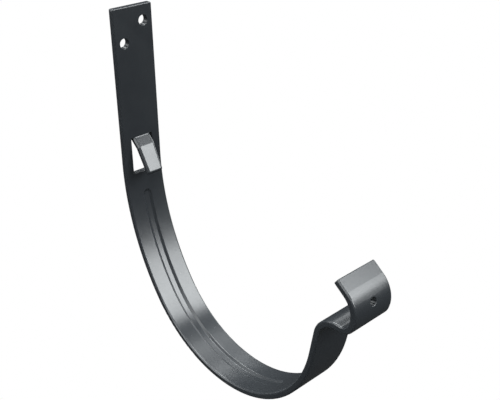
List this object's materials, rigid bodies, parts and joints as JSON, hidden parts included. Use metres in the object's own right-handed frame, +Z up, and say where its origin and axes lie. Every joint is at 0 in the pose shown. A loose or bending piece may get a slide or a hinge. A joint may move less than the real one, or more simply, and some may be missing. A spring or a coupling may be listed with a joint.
{
  "type": "gutter bracket",
  "caption": "Bent steel strip bracket that screws to a fascia and carries a half-round gutter, with a lanced tongue at the back and a hook for the gutter's front bead.",
  "frame": {"origin": "on the wall face of the leaf, midway between the two screw holes", "axes": "+X points out from the wall, +Y runs along the gutter, +Z is up"},
  "size_m": [0.176, 0.0252, 0.1971],
  "materials": {
    "coated_steel": "satin anthracite powder coat"
  },
  "bodies": {
    "root": {"bracket_strip": "coated_steel"}
  },
  "joints": []
}
